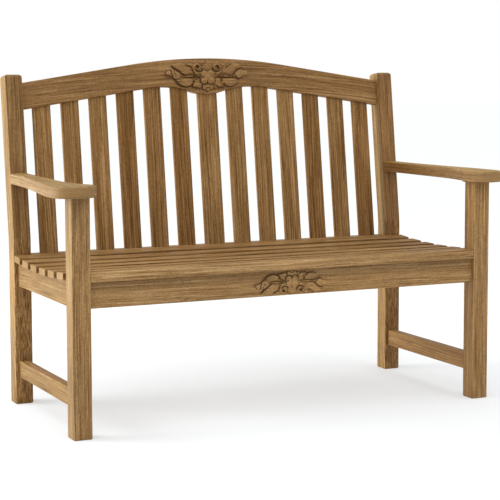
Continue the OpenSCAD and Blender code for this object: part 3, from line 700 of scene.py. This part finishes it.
# Colours of the light, middle and dark streaks, and of the staining and painted shade in and beside the
# carving's cuts
LIGHT, MIDDLE, DARK = (0.410, 0.252, 0.110), (0.268, 0.146, 0.050), (0.128, 0.056, 0.012)
CUT_STAIN_AND_SHADE = (0.040, 0.014, 0.002, 1)
CUT_STAIN_AND_SHADE_SHARE = 0.85
# Gain of the painted highlight on the carving's lightest faces
FACE_HIGHLIGHT_GAIN = (1.40, 1.50, 1.72, 1)
# A darker board is also a redder one: powers of its tone for red, green and blue
REDDER = (1, 1.35, 1.9)
# Noises: their stretch along, across and through the board, their detail and their roughness
WANDER = (1.5, 6, 6), 2.5, 0.5
STREAK = (4.0, 270, 270), 3, 0.62
FIBRE = (26, 800, 800), 3, 0.6
DASH = (24, 360, 360), 1.5, 0.5
FLECK = (150, 420, 420), 1.0, 0.5
CLOUD = (3.0, 16, 16), 3, 0.55
# How far the grain wanders across the board, in metres
WANDER_SPAN = 0.024
# Growth rings: how often they change along the board and across it, per metre
RINGS_ALONG, RINGS_ACROSS = 1.2, 290.0
# The rings' detail and roughness, and how far apart two boards lie in their noise
RINGS, RINGS_SEED = (4, 0.6), 1.37
# Ranges: the start and the end of a value, then what it becomes there if that isn't 0 and 1
LIGHT_STREAK, DARK_STREAK = (0.50, 0.62), (0.50, 0.37)
PORE = (0.56, 0.72)
CLOUD_SHADE = (0.25, 0.75, 0.87, 1.13)
FIBRE_SHADE = (0.25, 0.75, -0.16, 0.16)
FLECK_SHADE = (0.25, 0.75, -0.22, 0.22)
FIBRE_ROUGHNESS = (0.2, 0.8, 0.52, 0.66)
EDGE_GAP = (0.0045, 0.0010)
PATCHY_WEAR = (0.35, 0.62, 0.25, 1.0)
# The next four ranges place painted light and shade: the carving's lit faces, a rim's front and rear and
# its edge, and the faces that look to the sides
CARVED_FACE = (-0.5, 0.0, 1.0, 0.0)
RIM_RUN = (-0.12, 0.16)
RIM_EDGE = (0.0, 0.2)
SIDEWAYS = (0.5, 0.8)
END_GRAIN = (0.6, 0.9)
# Depths behind the front edge over which its painted shade from the gap before it grows, in metres
GAP_SHADE_DEPTH = (0.006, 0.001)
# Share of the streaks' contrast that is left on end grain, on light carved faces and on rims
END_CALM, CARVED_CALM, RIM_CALM = 0.35, 0.4, 0.6
CARVED_CALM_FROM = -0.2
# Knots: how they are stretched along the grain, how far they push it aside, and their dark core
KNOT_STRETCH = (0.45, 1, 1)
KNOT_PUSH = (0.0, 0.022, 0.010, 0.0)
KNOT_CORE = (0.0015, 0.0045, 0.55, 0.0)
PORE_SHADE, PORE_DEPTH = 0.30, 0.8
BUMP_STRENGTH, BUMP_HEIGHT = 0.35, 0.0004
WORN_SMOOTHER = -0.08


class Board(Nodes):
    """Nodes for one board's wood, with its place in the board's own axes, X along the grain."""

    def __init__(self, material, grain, centre, seed):
        super().__init__(material)
        self.seed = seed
        self.turn = Euler(GRAIN_TURN[grain], "XYZ").to_matrix()
        spot = self.new("ShaderNodeTexCoord").outputs
        self.normal = spot["Normal"]
        own = self.new("ShaderNodeMapping", {"Vector": spot["Object"], "Rotation": GRAIN_TURN[grain],
                                             "Location": -(self.turn @ Vector(centre))})
        self.move(own.outputs["Vector"])

    def move(self, place):
        self.place = place
        self.along, self.wide, self.tall = self.split(place)

    def follow_rim(self, rim):
        """Lets the grain of a rounded edge run along the outline, where rim is 1."""
        around = self.join(self.attribute("run"), 0.0, self.tall)
        off = self.vector("SUBTRACT", around, self.place)
        self.move(self.vector("MULTIPLY_ADD", off, self.join(rim, rim, rim), self.place))

    def sweep(self, bow):
        """Lets the grain run in a bow."""
        square = self.math("MULTIPLY", self.along, self.along)
        self.move(self.join(self.along, self.wide, self.math("MULTIPLY_ADD", square, bow, self.tall)))

    def grained(self, at, kind, output="Fac"):
        """One of the noises, stretched along the grain."""
        stretch, detail, roughness = kind
        offset = (self.seed * 3.17, self.seed * 1.73 + 5, self.seed * 2.39 + 9)
        return self.noise(self.vector("MULTIPLY_ADD", at, stretch, offset), detail, roughness)[output]

    def facing(self, axis):
        """How squarely a face looks along an axis of the object, one way or the other."""
        return self.math("ABSOLUTE", self.vector("DOT_PRODUCT", self.normal, axis))

    def bent_grain(self, knots):
        """Place in the grain, which wanders and runs round the knots, and the knots' shade."""
        wander = self.grained(self.place, WANDER, "Color")
        bent = self.vector("MULTIPLY_ADD", wander, (0, WANDER_SPAN, WANDER_SPAN), self.place)
        shade = 0.0
        for knot in knots:
            off = self.vector("MULTIPLY", self.vector("SUBTRACT", self.place, knot), KNOT_STRETCH)
            distance = self.vector("LENGTH", off)
            push = self.spread(distance, *KNOT_PUSH, smooth=True)
            push = self.join(push, push, push)
            bent = self.vector("MULTIPLY_ADD", self.vector("NORMALIZE", off), push, bent)
            shade = self.math("ADD", self.spread(distance, *KNOT_CORE, smooth=True), shade)
        return bent, shade

    def rings(self, bent, pith):
        """Growth rings about the pith, which lies outside the board."""
        middle = [-WANDER_SPAN / 2 - off for off in pith]
        radius = self.vector("LENGTH", self.vector("MULTIPLY_ADD", bent, (0, 1, 1), (0, *middle)))
        bands = self.join(self.math("MULTIPLY", self.along, RINGS_ALONG),
                          self.math("MULTIPLY", radius, RINGS_ACROSS), self.seed * RINGS_SEED)
        return self.noise(bands, *RINGS)["Fac"]

    def streaks(self, bent, pith, figure, contrast):
        """Streaks with their share of growth rings, spread about 0.5 by the contrast."""
        streak = self.math("MULTIPLY", self.grained(bent, STREAK), 1 - figure)
        streak = self.math("ADD", streak, self.math("MULTIPLY", self.rings(bent, pith), figure))
        return self.math("MULTIPLY_ADD", self.math("SUBTRACT", streak, 0.5), contrast, 0.5)

    def teak(self, streak, tone):
        """Colour of the wood for a value of its streaks."""
        tint = tone if isinstance(tone, tuple) else [tone**power for power in REDDER]
        light, middle, dark = ((*np.multiply(colour, tint), 1) for colour in (LIGHT, MIDDLE, DARK))
        body = self.mix(self.spread(streak, *LIGHT_STREAK, smooth=True), middle, light)
        return self.mix(self.spread(streak, *DARK_STREAK, smooth=True), body, dark)

    def edge(self, half):
        """1 on the board's long edges and 0 away from them."""
        if half is None:
            return self.attribute("edge")
        gaps = [self.math("SUBTRACT", reach, self.math("ABSOLUTE", off))
                for reach, off in zip(half, (self.wide, self.tall))]
        return self.spread(self.math("MAXIMUM", *gaps), *EDGE_GAP, smooth=True)

    def surface(self, colour, fibre, streak, pores, worn, gloss):
        """The wood's shader, with fibres, streaks and pores as a fine relief."""
        relief = self.math("ADD", self.math("MULTIPLY", fibre, 0.5), self.math("MULTIPLY", streak, 0.5))
        relief = self.math("SUBTRACT", relief, self.math("MULTIPLY", pores, PORE_DEPTH))
        bump = self.new("ShaderNodeBump", {"Strength": BUMP_STRENGTH, "Distance": BUMP_HEIGHT,
                                           "Height": relief}).outputs[0]
        rough = self.math("MULTIPLY", worn, WORN_SMOOTHER)
        rough = self.math("ADD", self.spread(fibre, *FIBRE_ROUGHNESS), rough)
        shader = self.new("ShaderNodeBsdfPrincipled", {"Base Color": colour, "Roughness": rough, "IOR": 1.5,
                                                       "Normal": bump, "Specular IOR Level": gloss})
        self.new("ShaderNodeOutputMaterial", {"Surface": shader.outputs[0]})


def wood(name, grain, centre, half, seed, tone=1.0, pith=(0.09, 0.14), figure=0.3, carved=False,
         bow=0.0, front_gap_shade=0.0, wear=1.2, gloss=0.2, contrast=1.0, painted_rim_shading=(), painted_side_shading=(),
         painted_shading=(), knots=()):
    """Oiled teak for one board: streaks and growth rings, fibres, pores, knots, worn edges, and painted
    light and shade.

    grain is the direction of the fibres, centre the board's middle in metres, half its half width
    and half height across the grain, or None where the mesh itself says what is an edge, and seed
    the board's place in the noises. tone is its lightness, as one number or for each colour, gloss
    the strength of its reflections, wear the lightness of its edges and contrast the strength of
    its streaks. pith is the place of the rings' middle, figure the share of the rings in the
    pattern, bow the sweep of the fibres, and front_gap_shade the painted shade on the front edge
    by the gap before it. painted_rim_shading has the gains of painted light and shade on a rounded
    edge at its front and at its rear, painted_side_shading is the gain that paints light and shade
    on the faces that look to the left and right, and painted_shading lists gains of painted shade
    and light along an axis of the board: the axis, the start and end in metres, and the gain past
    the end. knots are places on the board.
    """
    material = new_material(name)
    n = Board(material, grain, centre, seed)
    if painted_rim_shading:
        rearward, rim = n.along, n.attribute("rim")
        n.follow_rim(rim)
    if bow:
        n.sweep(bow)
    bent, knot_shade = n.bent_grain(knots)
    fibre, cloud = (n.grained(n.place, kind) for kind in (FIBRE, CLOUD))
    dash, fleck = (n.grained(bent, kind) for kind in (DASH, FLECK))
    pores = n.spread(dash, *PORE, smooth=True)

    if carved:
        stain = n.attribute("stain")
        contrast = n.spread(stain, CARVED_CALM_FROM, 0.0, CARVED_CALM * contrast, contrast)
    if painted_rim_shading:
        contrast = n.spread(rim, 0.0, 1.0, contrast, RIM_CALM * contrast)
    calm = n.spread(n.facing(n.turn.transposed() @ Vector((1, 0, 0))), *END_GRAIN, 1.0, END_CALM)
    streak = n.streaks(bent, pith, figure, n.math("MULTIPLY", contrast, calm))

    shade = n.math("ADD", n.spread(cloud, *CLOUD_SHADE), n.spread(fibre, *FIBRE_SHADE))
    shade = n.math("SUBTRACT", shade, n.math("MULTIPLY", pores, PORE_SHADE))
    shade = n.math("ADD", shade, n.math("MULTIPLY", n.spread(fleck, *FLECK_SHADE), calm))
    if knots:
        shade = n.math("SUBTRACT", shade, knot_shade)
    # Painted shade and light along an axis, such as the shadows under the arms and under the front slat's
    # nose
    for axis, start, end, gain in painted_shading:
        off = {"along": n.along, "wide": n.wide, "tall": n.tall}[axis]
        shade = n.math("MULTIPLY", shade, n.spread(off, start, end, 1.0, gain))
    worn = n.math("MULTIPLY", n.edge(half), n.spread(cloud, *PATCHY_WEAR), clamp=True)
    # A seat slat gets painted shade along its front edge, by the gap; other boards get lighter worn edges
    if front_gap_shade:
        start, end = (depth - half[0] for depth in GAP_SHADE_DEPTH)
        shade = n.math("MULTIPLY", shade, n.spread(n.wide, start, end, 1.0, 1 - front_gap_shade, smooth=True))
    else:
        shade = n.math("MULTIPLY", shade, n.spread(worn, 0, 1, 1.0, wear))

    colour = n.mix(1.0, n.teak(streak, tone), n.join(shade, shade, shade), "MULTIPLY")
    # Painted light and shade on the rounded edge, from its front to its rear
    if painted_rim_shading:
        front, rear = ((*gain, 1) for gain in painted_rim_shading)
        gain = n.mix(n.spread(rearward, *RIM_RUN), front, rear)
        colour = n.mix(n.spread(rim, *RIM_EDGE), colour, gain, "MULTIPLY")
    # Painted light and shade on the faces that look along X, to either side
    if painted_side_shading:
        colour = n.mix(n.spread(n.facing((1, 0, 0)), *SIDEWAYS), colour, (*painted_side_shading, 1), "MULTIPLY")
    # Painted highlight on the carving's faces, then its staining and painted shade in and beside the cuts
    if carved:
        colour = n.mix(n.spread(stain, *CARVED_FACE), colour, FACE_HIGHLIGHT_GAIN, "MULTIPLY")
        colour = n.mix(n.math("MULTIPLY", stain, CUT_STAIN_AND_SHADE_SHARE, clamp=True), colour, CUT_STAIN_AND_SHADE)
    n.surface(colour, fibre, streak, pores, worn, gloss)
    return material


def dress(piece, material):
    """Gives an own piece or a CAD node its one material."""
    slots = piece.data.materials
    if not len(slots):
        slots.append(material)
    for k in range(len(slots)):
        piece.material_slots[k].material = material


def node_wood(node, grain, seed, half=None, **look):
    """Wood for a straight CAD board, with its middle and its section taken from its box."""
    low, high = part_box(node)
    half = half or [(high[k] - low[k]) / 2 for k in SECTION_AXES[grain]]
    dress(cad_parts[node], wood(node, grain, (low + high) / 2, half, seed, **look))


# Boards and their looks

# Middles in metres, which the grain is counted from
CREST_MID, APRON_MID = (0, 0.27, 0.93), (0, -0.267, 0.3765)
ARM_MID, POST_MID = (0.61, -0.03, 0.6485), (0.61, 0.265, 0.6)
CREST_LOOK = dict(tone=0.88, contrast=0.9, pith=(0.10, 0.16), bow=0.12)
# The apron's top is painted darker, for the shadow of the front slat's nose
APRON_LOOK = dict(tone=1.10, contrast=0.7, pith=(0.09, 0.10), painted_shading=[("tall", 0.002, 0.016, 0.76)])
# Looks of each side's pieces, with painted light and shade that differ between the lit left side and the
# right; a rail's are those of the side apron and the side stretcher
ARM_LOOKS = {
    "right": dict(tone=(1.20, 1.33, 1.10), gloss=0.05, painted_rim_shading=((0.80, 0.80, 1.20), (0.61, 0.50, 0.49))),
    "left": dict(tone=(0.94, 1.04, 0.96), gloss=0.2, painted_rim_shading=((0.93, 0.89, 1.02), (0.96, 0.99, 1.22))),
}
POST_LOOKS = {
    "right": dict(tone=0.79, painted_side_shading=(1.17, 1.34, 1.42), painted_shading=[("along", -0.12, -0.20, 1.10)]),
    "left": dict(tone=(0.76, 0.73, 0.65), painted_side_shading=(1.06, 1.17, 1.24),
                 painted_shading=[("along", -0.12, -0.20, 1.20)]),
}
# The legs get painted shadow at their tops under the arms, and painted light and shade further down
LEG_LOOKS = {
    "right": dict(tone=(1.0, 1.02, 1.04), painted_side_shading=(0.92, 0.90, 0.85),
                  painted_shading=[("along", 0.10, 0.24, 1.24), ("along", 0.25, 0.315, 0.85)]),
    "left": dict(tone=(0.97, 0.99, 1.02), painted_side_shading=(0.96, 1.02, 1.02),
                 painted_shading=[("along", 0.20, 0.315, 0.80), ("along", 0.17, 0.12, 1.16),
                         ("along", -0.08, -0.14, 0.82)]),
}
RAIL_LOOKS = {
    "right": dict(tone=1.04, painted_side_shading=(1.0, 0.96, 0.88)),
    "left": dict(tone=0.86, painted_side_shading=(0.955, 1.04, 0.99)),
}
# Seat slats: painted shade along the front edge by the gap, painted light and shade on their ends, and
# their left ends painted lighter
SEAT_LOOK = dict(front_gap_shade=0.35, gloss=0.05, painted_side_shading=(0.91, 1.03, 1.30),
                 painted_shading=[("along", -0.20, -0.50, 1.13)])
SEAT_TONES = (1.10, 1.02, 1.06, 0.96, 1.0, 0.96)
SLAT_TONES = (0.94, 0.92, 0.93, 0.74, 0.88, 0.80, 0.96, 1.0, 1.0, 1.0, 0.79, 0.92, 0.80)
SLAT_FIGURES = (0.3, 0.4, 0.3, 0.3, 0.7, 0.5, 0.3, 0.4, 0.6, 0.3, 0.4, 0.3, 0.5)
SLAT_KNOTS = {4: [(0.02, 0.012, 0.0)]}
# Half section that keeps the worn edges off the pegs
NO_EDGE = (9, 9)

make_camera()
dress(make_crest(), wood("crest_rail", "crest", CREST_MID, None, 1.0, carved=True, **CREST_LOOK))
dress(make_apron(), wood("front_apron", "x", APRON_MID, None, 2.0, carved=True, **APRON_LOOK))
for side, hand in HAND.items():
    arm, post = make_arm(side), make_post(side)
    mirror = np.array((side, 1, 1))
    dress(arm, wood(arm.name, "y", mirror * ARM_MID, None, 3.0 + side, wear=1.1, **ARM_LOOKS[hand]))
    dress(post, wood(post.name, "slope", mirror * POST_MID, None, 6.0 + side, **POST_LOOKS[hand]))
    node_wood("front_leg_" + hand, "z", 9.0 + side, contrast=0.85, **LEG_LOOKS[hand])
    node_wood("side_apron_" + hand, "y", 12.0 + side, contrast=0.75, **RAIL_LOOKS[hand])
    node_wood("side_stretcher_" + hand, "y", 15.0 + side, contrast=0.75, **RAIL_LOOKS[hand])
node_wood("rear_seat_rail", "x", 18.0)
node_wood("seat_bearer", "y", 19.0)
node_wood("front_seat_slat", "x", 20.0, tone=1.19, contrast=0.85)
for i, tone in enumerate(SEAT_TONES, 1):
    node_wood(f"seat_slat_{i}", "x", 21.0 + i, tone=tone, **SEAT_LOOK)
for i, (tone, figure) in enumerate(zip(SLAT_TONES, SLAT_FIGURES), 1):
    node_wood(f"back_slat_{i}", "slope", 30.0 + i, tone=tone, figure=figure, gloss=0.1,
              knots=SLAT_KNOTS.get(i, ()))
for node in ("seat_pegs", "joint_pegs"):
    node_wood(node, "x", 50.0, tone=0.8, half=NO_EDGE)


# Floor and light

WHITE = (1, 1, 1, 1)
FLOOR_SIZE = 60
# The floor as it lights the bench, and as the camera sees it: a faint paint and its own glow
FLOOR_PLAIN, FLOOR_FAINT = (0.8, 0.8, 0.8, 1), (0.503, 0.519, 0.528, 1)
FLOOR_GLOW = 0.39
# Strength of the world's light, and of its plain white in the picture
WORLD_LIGHT, WORLD_SEEN = 0.72, 1.0
SOFTBOX_PLACE, SOFTBOX_AIM = (-3.6, 1.35, 1.15), (-0.3, 0.0, 0.5)
SOFTBOX_SIZE, SOFTBOX_WATTS = 2.3, 166
SUN_TOWARDS, SUN_SPREAD, SUN_STRENGTH = (0.08, 0.32, -1.0), math.radians(85), 1.54


def seen_by(n, *rays):
    """1 for the camera's rays and the other kinds named, and 0 for the light on the bench."""
    path = n.new("ShaderNodeLightPath").outputs
    seen = path["Is Camera Ray"]
    for ray in rays:
        seen = n.math("MAXIMUM", seen, path[ray])
    return seen


def make_floor():
    bpy.ops.mesh.primitive_plane_add(size=FLOOR_SIZE, location=(0, 0, 0))
    floor = bpy.context.object
    floor.name = "floor"
    material = new_material("floor")
    n = Nodes(material)
    plain = n.new("ShaderNodeBsdfDiffuse", {"Color": FLOOR_PLAIN}).outputs[0]
    faint = n.new("ShaderNodeBsdfDiffuse", {"Color": FLOOR_FAINT}).outputs[0]
    glow = n.new("ShaderNodeEmission", {"Color": WHITE, "Strength": FLOOR_GLOW}).outputs[0]
    bright = n.new("ShaderNodeAddShader", {0: faint, 1: glow}).outputs[0]
    seen = seen_by(n, "Is Glossy Ray")
    surface = n.new("ShaderNodeMixShader", {0: seen, 1: plain, 2: bright}).outputs[0]
    n.new("ShaderNodeOutputMaterial", {"Surface": surface})
    floor.data.materials.append(material)


def make_world():
    world = bpy.data.worlds.new("world")
    bpy.context.scene.world = world
    world.use_nodes = True
    n = Nodes(world)
    ambient = n.new("ShaderNodeBackground", {"Color": WHITE, "Strength": WORLD_LIGHT}).outputs[0]
    white = n.new("ShaderNodeBackground", {"Color": WHITE, "Strength": WORLD_SEEN}).outputs[0]
    seen = seen_by(n, "Is Glossy Ray", "Is Transmission Ray")
    mixed = n.new("ShaderNodeMixShader", {0: seen, 1: ambient, 2: white}).outputs[0]
    n.new("ShaderNodeOutputWorld", {"Surface": mixed})


def aim(lamp, direction):
    lamp.rotation_euler = direction.to_track_quat("-Z", "Y").to_euler()


def make_softbox():
    data = bpy.data.lights.new("side_light", "AREA")
    data.shape = "SQUARE"
    data.size = SOFTBOX_SIZE
    data.energy = SOFTBOX_WATTS
    lamp = add_object("side_light", data)
    lamp.location = SOFTBOX_PLACE
    aim(lamp, Vector(SOFTBOX_AIM) - Vector(SOFTBOX_PLACE))
    lamp.visible_camera = False


def make_sun():
    data = bpy.data.lights.new("top_light", "SUN")
    data.angle = SUN_SPREAD
    data.energy = SUN_STRENGTH
    aim(add_object("top_light", data), Vector(SUN_TOWARDS))


make_floor()
make_world()
make_softbox()
make_sun()

bpy.context.scene.view_settings.view_transform = "Standard"
